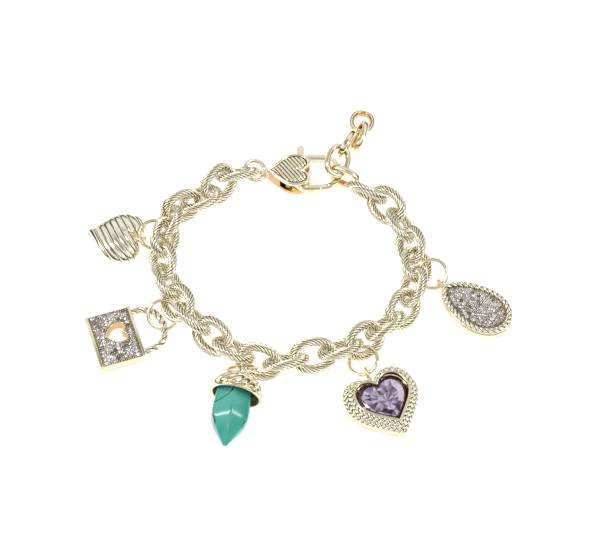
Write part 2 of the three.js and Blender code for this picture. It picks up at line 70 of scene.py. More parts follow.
STRIPED_HEART = {"x": -48.6, "y": 11.3, "heading": -9, "length": 14.6, "width": 15.0, "thick": 4.5,
                 "skirt": 1.4}
HEART_RIBS = {"pitch": 1.6, "slant": 34, "widen": 0.05, "bend": 0.0032}
PADLOCK = {"x": -46.5, "y": -20.8, "heading": 18.7, "width": 15.5, "height": 11.8, "thick": 3.0}
SHACKLE = {"half_width": 6.2, "reach": 6.9, "wire": 1.8, "z": 2.0}
KEYHOLE = {"length": 5.4, "width": 5.8, "across": -1.1, "up": 0.4}
ACORN = {"x": -15.7, "y": -40.8, "z": 6.6, "heading": 77, "droop": 7}
ACORN_CAP = {"radius": 6.7, "height": 5.7, "flutes": 14, "twist": 40, "lip": 1.0, "seat": 5.8}
PURPLE_HEART = {"x": 21.2, "y": -40.6, "heading": 118, "length": 18.6, "width": 18.6, "side": 2.4, "top": 5.2}
HEART_STONE = {"length": 12.7, "width": 12.9, "notch": 0.37, "spokes": 24}
BRAID = {"wire": 1.12, "lay": 2.6, "rows": (0.13, 0.38, 0.63, 0.87)}
TEARDROP = {"x": 44.8, "y": -11.4, "heading": 143, "length": 20.0, "width": 13.2, "side": 2.0, "top": 3.4,
            "rope": 1.6, "dome": 0.45}

ACORN_STONE = {"radius": 5.25, "neck": 4.8, "body": 8.2, "point": 6.0, "top": 1.25, "turn": 5, "across": -0.6,
               "ease": 1.4}
VEIN_SWAY = 1.2
VEINS = [  # centre x and y, bow and thickness of each vein
    (-21.6, -36.9, 7.0, 0.2),
    (-26.0, -49.6, 5.6, 0.16),
    (-8.0, -52.0, 6.2, 0.09),
]

# How each rope is laid: its strands, the facets of one strand, how deep the grooves are, and its turns.
CHAIN_LAY = {"strands": 9, "facets": 8, "groove": 0.42, "turns": 2.6, "steps": 140}
SHACKLE_LAY = {"strands": 3, "facets": 10, "groove": 0.34, "turns": 3.4, "steps": 120}
BRAID_LAY = {"strands": 2, "facets": 8, "groove": 0.34, "steps": 240}
BORDER_LAY = {"strands": 3, "facets": 10, "groove": 0.36, "turns": 11, "steps": 260}

PADLOCK_PAVE = {"pitch": 1.16, "stone": 0.54}
TEARDROP_PAVE = {"pitch": 1.06, "stone": 0.5}
PAVE_TIP = 0.4  # how far a stone may tip, in radians
PAVE_BEAD = 0.2

BAIL = {"outer": 3.5, "wire": 0.85, "stem": 1.1}
BAILS = {  # x, y, z, and which way the loop's plane faces: degrees round from +x and degrees up
    "striped_heart": (-41.6, 9.5, 2.4, 111, 24),
    "acorn": (-14.0, -33.6, 6.5, 3, 1),
    "purple_heart": (16.6, -31.2, 1.8, 12, 6),
    "teardrop": (36.4, -4.5, 2.1, -134, -5),
}

# ---------- tools for node trees ----------

MATH, VECTOR_MATH = "ShaderNodeMath", "ShaderNodeVectorMath"


def linear(code):
    """An sRGB hex colour as linear RGBA."""
    parts = [int(code[i : i + 2], 16) / 255 for i in (1, 3, 5)]
    return tuple(p / 12.92 if p <= 0.04045 else ((p + 0.055) / 1.055) ** 2.4 for p in parts) + (1.0,)


def add(tree, kind, sockets=(), **settings):
    """A node with its settings.

    `sockets` is a row or a table of inputs. Each takes a value, an output or another node's first output.
    """
    node = tree.nodes.new(kind)
    for name, value in settings.items():
        setattr(node, name, value)
    for key, value in sockets.items() if isinstance(sockets, dict) else enumerate(sockets):
        if isinstance(value, bpy.types.Node):
            value = value.outputs[0]
        if isinstance(value, bpy.types.NodeSocket):
            tree.links.new(value, node.inputs[key])
        else:
            node.inputs[key].default_value = value
    return node


def new_tree(name, inputs):
    """A geometry tree, what adds its nodes, and its inputs, named here with their socket types."""
    tree = bpy.data.node_groups.new(name, "GeometryNodeTree")
    for label, kind in [("Geometry", "Geometry"), *inputs]:
        tree.interface.new_socket(label, in_out="INPUT", socket_type="NodeSocket" + kind)
    tree.interface.new_socket("Geometry", in_out="OUTPUT", socket_type="NodeSocketGeometry")
    return tree, partial(add, tree), add(tree, "NodeGroupInput").outputs


def finish_tree(tree, geometry, material):
    """Ends a tree in real geometry with its material."""
    real = add(tree, "GeometryNodeRealizeInstances", {"Geometry": geometry})
    painted = add(tree, "GeometryNodeSetMaterial", {"Geometry": real, "Material": material})
    add(tree, "NodeGroupOutput", {"Geometry": painted})
    return tree


def wire_tree():
    """Wire of laid strands along a path; with no groove it is plain round wire.

    Each point of the section keeps `crown`, which is 1 along the top of a strand and 0 in the groove, where
    the rope finish paints shade.
    """
    tree, put, given = new_tree("laid_wire", [
        ("Wire", "Float"), ("Strands", "Int"), ("Facets", "Int"), ("Groove", "Float"), ("Turns", "Float"),
        ("Steps", "Int"), ("Material", "Material")])
    path = put("GeometryNodeMeshToCurve", (given["Geometry"],))
    path = put("GeometryNodeResampleCurve", {"Curve": path, "Count": given["Steps"]})
    path = put("GeometryNodeSetCurveNormal", {"Curve": path}, mode="Z_UP")
    along = put("GeometryNodeSplineParameter").outputs["Factor"]
    turned = put(MATH, (along, given["Turns"]), operation="MULTIPLY")
    tilt = put(MATH, (turned, 2 * math.pi), operation="MULTIPLY")
    path = put("GeometryNodeSetCurveTilt", {"Curve": path, "Tilt": tilt})

    points = put(MATH, (given["Strands"], given["Facets"]), operation="MULTIPLY")
    section = put("GeometryNodeCurvePrimitiveCircle", {"Resolution": points, "Radius": 1.0})
    index = put("GeometryNodeInputIndex")
    facet = put(MATH, (index, given["Facets"]), operation="FLOORED_MODULO")
    share = put(MATH, (facet, given["Facets"]), operation="DIVIDE")
    across = put(MATH, (share, 2.0, -1.0), operation="MULTIPLY_ADD")
    square = put(MATH, (across, across), operation="MULTIPLY")
    rest = put(MATH, (1.0, square), operation="SUBTRACT")
    crown = put(MATH, (rest,), operation="SQRT")
    kept = {"Geometry": section, "Name": "crown", "Value": crown}
    section = put("GeometryNodeStoreNamedAttribute", kept, domain="POINT")
    fall = put(MATH, (crown, 1.0), operation="SUBTRACT")
    half = put(MATH, (given["Wire"], 2.0), operation="DIVIDE")
    radius = put(MATH, (given["Groove"], fall, half), operation="MULTIPLY_ADD")
    place = put("GeometryNodeInputPosition")
    drawn_in = put(VECTOR_MATH, {0: place, "Scale": radius}, operation="SCALE")
    section = put("GeometryNodeSetPosition", {"Geometry": section, "Position": drawn_in})

    body = put("GeometryNodeCurveToMesh", {"Curve": path, "Profile Curve": section, "Fill Caps": True})
    body = put("GeometryNodeSetShadeSmooth", {"Geometry": body})
    return finish_tree(tree, body, given["Material"])


def setting_tree():
    """Copies of one small shape on the points of a mesh, each turned and tipped by chance."""
    tree, put, given = new_tree("set_stones", [
        ("Shape", "Object"), ("Size", "Float"), ("Tip", "Float"), ("Seed", "Int"), ("Material", "Material")])
    shape = put("GeometryNodeObjectInfo", {"Object": given["Shape"]}).outputs["Geometry"]
    tip, seed = given["Tip"], given["Seed"]
    back = put(MATH, (tip, -1.0), operation="MULTIPLY")
    least = put("ShaderNodeCombineXYZ", (back, back))
    most = put("ShaderNodeCombineXYZ", (tip, tip, 2 * math.pi))
    turn = put("FunctionNodeRandomValue", {0: least, 1: most, "Seed": seed}, data_type="FLOAT_VECTOR")
    copies = put("GeometryNodeInstanceOnPoints", {
        "Points": given["Geometry"], "Instance": shape, "Rotation": turn, "Scale": given["Size"]})
    chance = put("FunctionNodeRandomValue", {"Seed": seed}, data_type="FLOAT").outputs[1]
    kept = {"Geometry": copies, "Name": "chance", "Value": chance}
    copies = put("GeometryNodeStoreNamedAttribute", kept, domain="INSTANCE")
    return finish_tree(tree, copies, given["Material"])


# ---------- materials ----------


def new_material(name):
    """A bare material and what adds its nodes."""
    material = bpy.data.materials.new(name)
    material.use_nodes = True
    material.node_tree.nodes.clear()
    return material, partial(add, material.node_tree)


def finish_material(material, surface):
    """Ends a material in one surface shader with these inputs."""
    shader = add(material.node_tree, "ShaderNodeBsdfPrincipled", surface)
    add(material.node_tree, "ShaderNodeOutputMaterial", {"Surface": shader})
    return material


def pattern(put, size, detail=2.0):
    """Noise whose grains are `size` millimetres across."""
    place = put("ShaderNodeTexCoord").outputs["Object"]
    return put("ShaderNodeTexNoise", {"Vector": place, "Scale": 1 / (size * MM), "Detail": detail})


def graded(put, value, start, end, low, high):
    """A colour from `low` to `high` as a value goes from start to end; either is an output or hex."""
    low, high = (linear(colour) if isinstance(colour, str) else colour for colour in (low, high))
    share = put("ShaderNodeMapRange", (value, start, end))
    return put("ShaderNodeMix", {0: share, 6: low, 7: high}, data_type="RGBA").outputs[2]


def bright_plate(material, colour, grain, gloss, ripple):
    """Bright plating: its roughness varies over `grain`, and `ripple` is a fine wave's width and height."""
    put = partial(add, material.node_tree)
    rough = put("ShaderNodeMapRange", (pattern(put, *grain), 0.3, 0.7, *gloss))
    wave = {"Height": pattern(put, ripple[0]), "Strength": 1.0, "Distance": ripple[1] * MM}
    bump = put("ShaderNodeBump", wave)
    return finish_material(material, {
        "Base Color": colour, "Metallic": 1.0, "Roughness": rough, "Normal": bump})


def polished_plate(name, pale, deep, roughness, ripple):
    """Champagne gold plating on polished brass: pale and mirror-like, a little warmer where it is thin."""
    material, put = new_material(name)
    colour = graded(put, pattern(put, 3.0), 0.35, 0.7, pale, deep)
    return bright_plate(material, colour, (1.2, 4.0), (roughness * 0.7, roughness * 1.5), (1.6, ripple))


def rope_plate():
    """The same plating on twisted wire: plain and bright along each strand, with painted shade in the
    grooves, near black at their floor and a warm painted reflection up their sides.
    """
    material, put = new_material("champagne_gold_rope")
    crown = put("ShaderNodeAttribute", attribute_name="crown").outputs["Fac"]
    # Painted shade in the grooves, near black at their floor and warming to a painted reflection up their
    # sides.
    groove_shade = graded(put, crown, 0.25, 0.54, "#1c1509", "#c29a54")
    colour = graded(put, crown, 0.44, 0.8, groove_shade, "#f8f4df")
    return bright_plate(material, colour, (1.0, 3.0), (0.08, 0.18), (0.5, 0.006))


def turquoise():
    """Polished turquoise: an opaque blue-green stone with thin dark veins of matrix and a waxy gloss."""
    material, put = new_material("polished_turquoise")
    place = put("ShaderNodeTexCoord").outputs["Object"]
    body = graded(put, pattern(put, 5.0, 3.0), 0.3, 0.7, "#3aaa97", "#55bcab")
    wander = pattern(put, 4.0).outputs["Color"]
    sway = put(VECTOR_MATH, {0: wander, "Scale": VEIN_SWAY * MM}, operation="SCALE")
    bent = put(VECTOR_MATH, (place, sway), operation="ADD")
    flat = put(VECTOR_MATH, (bent, (1.0, 1.0, 0.0)), operation="MULTIPLY")
    dark = 0.0
    for x, y, bow, thick in VEINS:
        centre = ((x + SHIFT.x + VEIN_SWAY / 2) * MM, (y + SHIFT.y + VEIN_SWAY / 2) * MM, 0.0)
        away = put(VECTOR_MATH, (flat, centre), operation="DISTANCE").outputs["Value"]
        gap = put(MATH, (away, bow * MM), operation="SUBTRACT")
        near = put(MATH, (gap,), operation="ABSOLUTE")
        line = put("ShaderNodeMapRange", (near, thick * 0.5 * MM, thick * MM, 1.0, 0.0))
        dark = put(MATH, (dark, line), operation="MAXIMUM")
    return finish_material(material, {
        "Base Color": graded(put, dark, 0.0, 1.0, body, "#12383c"), "Roughness": 0.16, "IOR": 1.61,
        "Coat Weight": 0.5, "Coat Roughness": 0.04})


def foiled_amethyst():
    """Cut amethyst zirconia on foil: lilac and violet facets flash by turns, and round its edge is painted
    shade in wine red.
    """
    material, put = new_material("foiled_amethyst_zirconia")
    chance = put("ShaderNodeAttribute", attribute_name="chance").outputs["Fac"]
    rim = put("ShaderNodeAttribute", attribute_name="rim").outputs["Fac"]
    colour = graded(put, chance, 0.25, 0.6, "#d9cbe0", "#9c83b3")
    colour = graded(put, chance, 0.62, 0.95, colour, "#3d2350")
    # rim lays painted shade in wine red over the facets.
    return finish_material(material, {
        "Base Color": graded(put, rim, 0.0, 1.0, colour, "#4a1420"), "Metallic": 0.7, "Roughness": 0.05,
        "Coat Weight": 1.0, "Coat Roughness": 0.02})


def crystal_plate():
    """Small foiled crystals: each facet flashes white, grey or a faint lilac, one stone unlike the next."""
    material, put = new_material("foiled_crystal")
    chance = put("ShaderNodeAttribute", attribute_name="chance").outputs["Fac"]
    colour = graded(put, chance, 0.35, 0.8, "#f6f0f2", "#bdb2bf")
    return finish_material(material, {
        "Base Color": graded(put, chance, 0.06, 0.3, "#6f696e", colour), "Metallic": 0.85, "Roughness": 0.06,
        "Coat Weight": 1.0, "Coat Roughness": 0.02})


def light_table():
    """Matt white light table, lit from below so that it stays white round the part."""
    material, put = new_material("white_light_table")
    return finish_material(material, {
        "Base Color": graded(put, pattern(put, 0.8), 0.0, 1.0, "#cacaca", "#d0d0d0"), "Roughness": 0.9,
        "Emission Color": linear("#ffffff"), "Emission Strength": 0.66})


GOLD = polished_plate("champagne_gold_plate", "#f6f0dc", "#efe0b4", 0.08, 0.010)
CAST_GOLD = polished_plate("cast_champagne_gold", "#f6f0dc", "#ecdcae", 0.10, 0.016)
GROOVE_SHADED_GOLD = rope_plate()
# The same plating with painted light: a warm painted reflection where it faces itself, and painted shade
# where stones or a cap shade it.
PAINTED_REFLECTION_GOLD = polished_plate("painted_reflection_gold", "#ebc791", "#d6a566", 0.12, 0.010)
SHADED_GOLD = polished_plate("painted_shade_recess_gold", "#5a4c2c", "#3c3018", 0.35, 0.010)
PAVE_SHADE_GOLD = polished_plate("shaded_pave_bed", "#a89c84", "#857a64", 0.35, 0.010)
AMETHYST = foiled_amethyst()
CRYSTAL = crystal_plate()

# ---------- tools for shapes; an outline is an array of places in millimetres, counter-clockwise ----------

WIRE_TREE = wire_tree()
SETTING_TREE = setting_tree()


def new_mesh(name, places, edges, faces, *finishes):
    """A mesh from places in millimetres."""
    mesh = bpy.data.meshes.new(name)
    mesh.from_pydata([tuple(p) for p in np.asarray(places, float) * MM], edges, faces)
    for finish in finishes:
        mesh.materials.append(finish)
    return mesh


def show(name, data):
    """A mesh, camera or light as an object in the scene."""
    piece = bpy.data.objects.new(name, data)
    bpy.context.scene.collection.objects.link(piece)
    return piece


def applied(piece):
    """Turns a piece's live modifiers into plain mesh."""
    graph = bpy.context.evaluated_depsgraph_get()
    live = piece.evaluated_get(graph)
    made = bpy.data.meshes.new_from_object(live, preserve_all_data_layers=True, depsgraph=graph)
    piece.modifiers.clear()
    piece.data = made
    return piece


def grow(name, points, edges, tree, values):
    """A mesh made by a geometry tree from points and edges in millimetres."""
    piece = show(name, new_mesh(name, points, edges, []))
    made = piece.modifiers.new("make", "NODES")
    made.node_group = tree
    names = {item.name: item.identifier for item in tree.interface.items_tree if item.in_out == "INPUT"}
    for key, value in values.items():
        made[names[key]] = value
    return faces_out(applied(piece))


def faces_out(piece):
    """Flips a closed mesh that is inside out."""
    shape = bmesh.new()
    shape.from_mesh(piece.data)
    if shape.calc_volume(signed=True) < 0:
        bmesh.ops.reverse_faces(shape, faces=shape.faces)
        shape.to_mesh(piece.data)
    shape.free()
    return piece


def wire(name, path, closed, thick, finish=GOLD, steps=40, strands=1, facets=12, groove=0.0, turns=0.0):
    """Wire along a path in millimetres."""
    count = len(path)
    edges = [(i, (i + 1) % count) for i in range(count if closed else count - 1)]
    return grow(name, path, edges, WIRE_TREE, {
        "Wire": thick * MM, "Strands": strands, "Facets": facets, "Groove": groove * MM,
        "Turns": float(turns), "Steps": steps, "Material": finish})


def skin(name, levels, finish, smooth=True, crown=None):
    """Closed mesh through levels of equal count, from the bottom up, which closes on the middle of both ends.

    `crown` gives each point the share that the rope finish reads to paint its shade: 1 on a ridge and 0 in
    the groove.
    """
    count = len(levels[0])
    places = np.vstack([*levels, levels[0].mean(0), levels[-1].mean(0)])
    low, high = len(places) - 2, len(places) - 1
    top = (len(levels) - 1) * count
    faces = []
    for i in range(count):
        follow = (i + 1) % count
        faces.append((low, follow, i))
        faces.append((high, top + i, top + follow))
        for start in range(0, top, count):
            faces.append((start + i, start + follow, start + count + follow, start + count + i))
    mesh = new_mesh(name, places, [], faces, finish)
    if crown is not None:
        shares = mesh.attributes.new("crown", "FLOAT", "POINT")
        shares.data.foreach_set("value", np.concatenate([*crown, [1.0, 1.0]]))
    mesh.shade_smooth() if smooth else mesh.shade_flat()
    return show(name, mesh)


def band(name, path, width, height, finish, closed=False, inner=None, corner=0.28):
    """Flat bar with rounded corners along a level path; `inner` finishes the inner wall of a closed loop."""
    ahead = np.roll(path, -1, 0) - np.roll(path, 1, 0) if closed else np.gradient(path, axis=0)
    ahead = ahead / np.linalg.norm(ahead, axis=1, keepdims=True)
    side = np.column_stack([-ahead[:, 1], ahead[:, 0], np.zeros(len(path))])
    quarter = np.linspace(0, math.pi / 2, 5)
    section = np.vstack([np.multiply(sign, [width / 2 - corner, height / 2 - corner])
                         + corner * circle(quarter + turn * math.pi / 2)
                         for turn, sign in enumerate(((1, 1), (-1, 1), (-1, -1), (1, -1)))])
    upward = section[:, 1:] * [0, 0, 1]
    levels = [place + section[:, :1] * across + upward for place, across in zip(path, side)]
    if not closed:
        return faces_out(skin(name, levels, finish))
    count, rings = len(section), len(path)
    faces, kinds = [], []
    for start in range(rings):
        for i in range(count):
            here, there, follow = start * count, (start + 1) % rings * count, (i + 1) % count
            faces.append((here + i, here + follow, there + follow, there + i))
            kinds.append(int(inner is not None and section[i, 0] > width / 2 - corner * 0.5))
    mesh = new_mesh(name, np.vstack(levels), [], faces, finish)
    if inner:
        mesh.materials.append(inner)
        mesh.polygons.foreach_set("material_index", kinds)
    mesh.shade_smooth()
    return faces_out(show(name, mesh))


def joined(name, pieces):
    """Several pieces as one, in the first one's place."""
    first = pieces[0]
    with bpy.context.temp_override(active_object=first, object=first, selected_editable_objects=pieces,
                                   selected_objects=pieces):
        bpy.ops.object.join()
    first.name = name
    return first


def placed(piece, place):
    piece.data.transform(place)
    return piece


def full_turn(count):
    """Angles evenly round a circle."""
    return np.linspace(0, 2 * math.pi, count, endpoint=False)


def circle(angles):
    return np.column_stack([np.cos(angles), np.sin(angles)])


def painted(piece, finish, chosen):
    """Gives a finish to the faces that `chosen` picks."""
    piece.data.materials.append(finish)
    for face in piece.data.polygons:
        if chosen(face):
            face.material_index = len(piece.data.materials) - 1
    return piece


def at(outline, z):
    """An outline as a level at height z, or at a height for each point."""
    return np.column_stack([outline, np.broadcast_to(z, len(outline))])


def inset(outline, depth):
    """The outline drawn in towards its centre, by one depth or by a depth for each point."""
    reach = np.linalg.norm(outline, axis=1)
    return outline * (np.maximum(reach - depth, 0.05) / reach)[:, None]


def offset(outline, depth):
    """The outline drawn in at right angles to itself."""
    ahead = np.roll(outline, -1, 0) - np.roll(outline, 1, 0)
    ahead /= np.linalg.norm(ahead, axis=1, keepdims=True)
    return outline + depth * np.column_stack([-ahead[:, 1], ahead[:, 0]])


def even(points, count, closed=True):
    """The same path with `count` points, evenly spaced."""
    loop = np.vstack([points, points[:1]]) if closed else points
    steps = np.r_[0, np.cumsum(np.linalg.norm(np.diff(loop, axis=0), axis=1))]
    wanted = np.linspace(0, steps[-1], count, endpoint=not closed)
    return np.column_stack([np.interp(wanted, steps, loop[:, k]) for k in range(loop.shape[1])])


def heart(length, width, count, notch=0.3):
    """Half a heart runs from the notch over a lobe to the tip at -y, and the other half mirrors it."""
    curves = [
        [(0, notch), (-0.09, 0.55), (-0.5, 0.61), (-0.5, 0.13)],
        [(-0.5, 0.13), (-0.5, -0.1), (-0.2, -0.31), (0, -0.5)],
    ]
    t = np.linspace(0, 1, 200)[:-1, None]
    weights = [(1 - t) ** 3, 3 * t * (1 - t) ** 2, 3 * t**2 * (1 - t), t**3]
    half = np.vstack([sum(w * np.array(p) for w, p in zip(weights, curve)) for curve in curves])
    whole = np.vstack([half, [[0, -0.5]], half[:0:-1] * [-1, 1]])
    return even(whole * [width, length], count)


def softened(outline, reach):
    """The outline with its corners rounded over `reach` points."""
    weights = np.hanning(reach + 2)[1:-1] / np.hanning(reach + 2).sum()
    return sum(w * np.roll(outline, k - reach // 2, 0) for k, w in enumerate(weights))


def drop(length, width, count):
    """A drop with its narrow end at +y."""
    angle = full_turn(400) + math.pi / 2
    along = np.sin(angle)
    across = width / 2.02 * np.cos(angle) * (1 - 0.22 * along)
    return even(np.column_stack([across, length / 2 * along]), count)


def oval(length, width, wire, squareness=2.0, count=180):
    """The middle line of an oval wire loop."""
    angle = full_turn(count)
    bulge = lambda v: np.sign(v) * np.abs(v) ** (2 / squareness)
    x, y = (length - wire) / 2 * bulge(np.cos(angle)), (width - wire) / 2 * bulge(np.sin(angle))
    return np.column_stack([x, y, np.zeros(count)])


def smooth_path(points, count):
    """A Catmull-Rom curve through points in millimetres."""
    p = np.asarray(points, float)
    p = np.vstack([2 * p[0] - p[1], p, 2 * p[-1] - p[-2]])
    t = np.linspace(0, 1, 12, endpoint=False)[:, None]
    spans = []
    for a, b, c, d in zip(p, p[1:], p[2:], p[3:]):
        bow, swing = 2 * a - 5 * b + 4 * c - d, 3 * b - a - 3 * c + d
        spans.append(0.5 * (2 * b + (c - a) * t + bow * t**2 + swing * t**3))
    return even(np.vstack([*spans, p[-2:-1]]), count, closed=False)


def depth_inside(points, outline):
    """How far each point lies inside an outline; it is negative outside."""
    start, end = outline, np.roll(outline, -1, 0)
    ahead = end - start
    gap = points[:, None] - start[None]
    share = np.clip((gap * ahead).sum(2) / (ahead**2).sum(1), 0, 1)
    away = np.linalg.norm(gap - share[..., None] * ahead, axis=2).min(1)
    crosses = (start[:, 1] > points[:, None, 1]) != (end[:, 1] > points[:, None, 1])
    rise = np.where(ahead[:, 1] == 0, 1e-9, ahead[:, 1])
    right = gap[..., 0] < gap[..., 1] * ahead[:, 0] / rise
    inside = (crosses & right).sum(1) % 2 == 1
    return np.where(inside, away, -away)


def lattice(pitch, half):
    """Rows of points, each row shifted by half a pitch from the last."""
    row_gap = pitch * 0.866
    rows = int(half / row_gap) + 1
    places = []
    for row in range(-rows, rows + 1):
        shift = pitch / 2 if row % 2 else 0.0
        places += [(column * pitch + shift, row * row_gap) for column in range(-rows - 2, rows + 3)]
    return np.array(places)


# ---------- places ----------


rivet_low, rivet_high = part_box("clasp_rivet")
SHIFT = ((rivet_low + rivet_high) / 2).xy / MM - RIVET  # from the places above to the row frame


def charm_frame(charm):
    """Frame of a charm that lies on its back with its top, +y, pointing along its heading."""
    place = Vector((charm["x"] + SHIFT.x, charm["y"] + SHIFT.y, 0)) * MM
    return Matrix.Translation(place) @ Matrix.Rotation(math.radians(charm["heading"] - 90), 4, "Z")


def aimed_frame(x, y, z, turn, tip):
    """Frame whose z axis points `turn` degrees round from +x and `tip` degrees up."""
    turn, tip = math.radians(turn), math.radians(tip)
    aim = Vector((math.cos(tip) * math.cos(turn), math.cos(tip) * math.sin(turn), math.sin(tip)))
    turned = Vector((0, 0, 1)).rotation_difference(aim).to_matrix().to_4x4()
    return Matrix.Translation(Vector((x + SHIFT.x, y + SHIFT.y, z)) * MM) @ turned


def loop_frame(node):
    """Centre and axes of a wire loop: x along its length and z across its plane."""
    corners = np.array([v.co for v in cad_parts[node].data.vertices])
    corners = np.unique(corners.round(7), axis=0)
    centre = corners.mean(0)
    axes = np.linalg.eigh(np.cov((corners - centre).T))[1]
    x, y = Vector(axes[:, 2]), Vector(axes[:, 1])
    return Matrix.Translation(Vector(centre)) @ Matrix((x, y, x.cross(y))).transposed().to_4x4()


def take_over(piece, slot, *nodes, body="bracelet"):
    """The piece rides on its body and stands for the CAD nodes that it shows; `slot`, its material slot, is
    not used.
    """
    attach(piece, body)
    if nodes:
        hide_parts(*nodes)
    return piece


def bail(name, place_of, root):
    """A charm's loop with the short stem that runs to `root`, a place in the row frame in millimetres."""
    x, y, z, turn, tip = BAILS[place_of]
    outer, thick = BAIL["outer"], BAIL["wire"]
    ring = placed(wire(name, oval(outer, outer, thick), True, thick), aimed_frame(x, y, z, turn, tip))
    centre = Vector((x + SHIFT.x, y + SHIFT.y, z))
    start = centre + (Vector(root) - centre).normalized() * (outer / 2 - thick * 0.6)
    line = even(np.array([start, root]), 6, closed=False)
    return joined(name, [ring, wire(name + "_stem", line, False, BAIL["stem"], steps=6)])


def on_charm(charm, x, y, z):
    """A place on a charm, in the row frame in millimetres."""
    return tuple(charm_frame(charm) @ (Vector((x, y, z)) * MM) / MM)


# ---------- chain, rings and extender ----------


def stand_in(sample, nodes, naming, slot):
    """A copy of one loop takes the place of each node."""
    for node in nodes:
        take_over(placed(show(naming % node, sample.data.copy()), loop_frame(node)), slot, node)
    bpy.data.objects.remove(sample)


def make_chain():
    """Links of laid rope, drawn as coarse as their strands need to show."""
    sample = wire("rope_link", oval(**ROPE_LINK), True, ROPE_LINK["wire"], GROOVE_SHADED_GOLD, **CHAIN_LAY)
    stand_in(sample, ["link_%02d" % number for number in range(1, 26)], "rope_%s", "rope_chain")


def make_plain_loops(nodes, size, steps, flat=None):
    """Plain loops with a painted warm reflection along their inner side; `flat` gives the sizes of flat
    stock.
    """
    # Either way the inner side gets the painted warm reflection.
    if flat:
        sample = band("plain_loop", oval(**size, count=steps), flat["thick"], flat["across"], GOLD,
                      closed=True, inner=PAINTED_REFLECTION_GOLD, corner=flat["corner"])
    else:
        sample = wire("plain_loop", oval(**size), True, size["wire"], steps=steps, facets=18)
        inner = (size["length"] - size["wire"]) / 2 - size["wire"] * 0.34
        painted(sample, PAINTED_REFLECTION_GOLD, lambda face: face.center.xy.length < inner * MM)
    stand_in(sample, nodes, "%s_wire", "plain_wire")


# ---------- clasp ----------


def ridges(points, pitch, slant, widen=0.0, bend=0.0):
    """Place across parallel ridges at each point: 0 along the middle of a ridge and 1 in the groove.

    `widen` is how much the pitch grows for each millimetre across, and `bend` curves the ridges like an S.
    """
    turn = math.radians(slant)
    along = points[:, 0] * math.cos(turn) + points[:, 1] * math.sin(turn)
    across = -points[:, 0] * math.sin(turn) + points[:, 1] * math.cos(turn)
    across = across - bend * along**3
    count = np.log(1 + widen * across / pitch) / widen if widen else across / pitch
    return np.abs(count % 1.0 * 2 - 1)


def cut(piece, cutter):
    """The piece with the cutter's shape taken out of it."""
    knife = piece.modifiers.new("cut", "BOOLEAN")
    knife.object, knife.operation, knife.solver = cutter, "DIFFERENCE", "EXACT"
    applied(piece)
    bpy.data.objects.remove(cutter)
    return piece


def block(name, low, high, finish):
    """A box between two corners in millimetres."""
    (x0, y0, z0), (x1, y1, z1) = low, high
    corners = np.array([(x0, y0), (x1, y0), (x1, y1), (x0, y1)], float)
    return skin(name, [at(corners, z0), at(corners, z1)], finish, smooth=False)


def rounded(piece, radius):
    """Rounds the edges that are sharper than 40 degrees."""
    edge = piece.modifiers.new("round", "BEVEL")
    edge.width, edge.segments = radius * MM, 3
    edge.limit_method, edge.angle_limit = "ANGLE", math.radians(40)
    applied(piece)
    piece.data.shade_smooth()
    return piece


def sharp_by_angle(piece, angle=35):
    """Smooth shading that breaks at edges sharper than an angle."""
    piece.data.shade_smooth()
    piece.data.set_sharp_from_angle(angle=math.radians(angle))
    return piece


